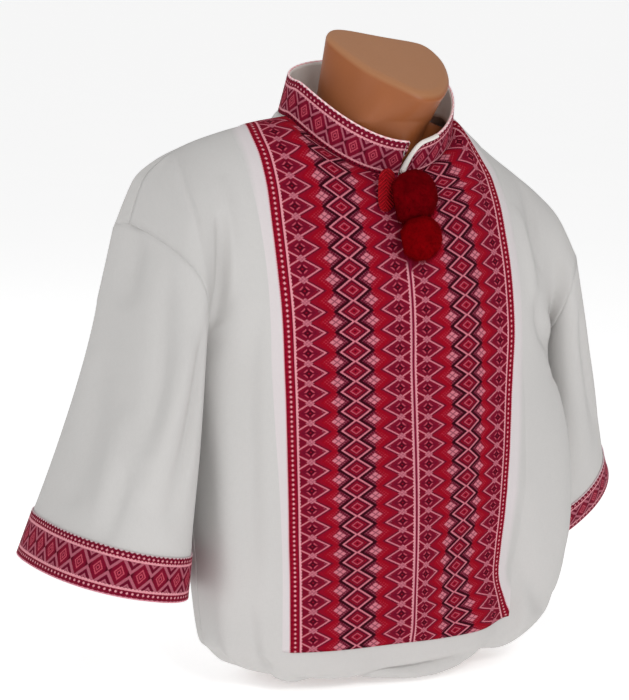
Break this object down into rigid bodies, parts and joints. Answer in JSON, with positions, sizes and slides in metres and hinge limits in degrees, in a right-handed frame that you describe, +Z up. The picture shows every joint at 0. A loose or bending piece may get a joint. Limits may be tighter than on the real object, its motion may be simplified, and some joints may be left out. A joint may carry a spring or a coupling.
{
  "type": "vyshyvanka shirt on a limbless torso dress form",
  "caption": "Short-sleeved white shirt with a wide woven front strip, standing collar and cuff bands, worn by a limbless torso form.",
  "frame": {"origin": "middle of the dress form's flat foot, on the surface it stands on", "axes": "+Z up, the wearer faces -Y, the wearer's left is +X"},
  "size_m": [0.6135, 0.2677, 0.5605],
  "materials": {
    "white_cloth": "matt plain weave",
    "woven_band": "matt patterned weave",
    "tan_plastic": "satin",
    "red_wool": "soft and matt"
  },
  "bodies": {
    "root": {"front": "white_cloth", "back": "white_cloth", "panel_right": "woven_band", "panel_left": "woven_band", "sleeve_right": "white_cloth", "sleeve_left": "white_cloth", "cuff_band_right": "woven_band", "cuff_band_left": "woven_band", "collar_band": "woven_band", "collar_lining": "white_cloth", "pompom_upper": "red_wool", "pompom_lower": "red_wool", "tie_end": "red_wool", "dress_form": "tan_plastic"}
  },
  "joints": []
}
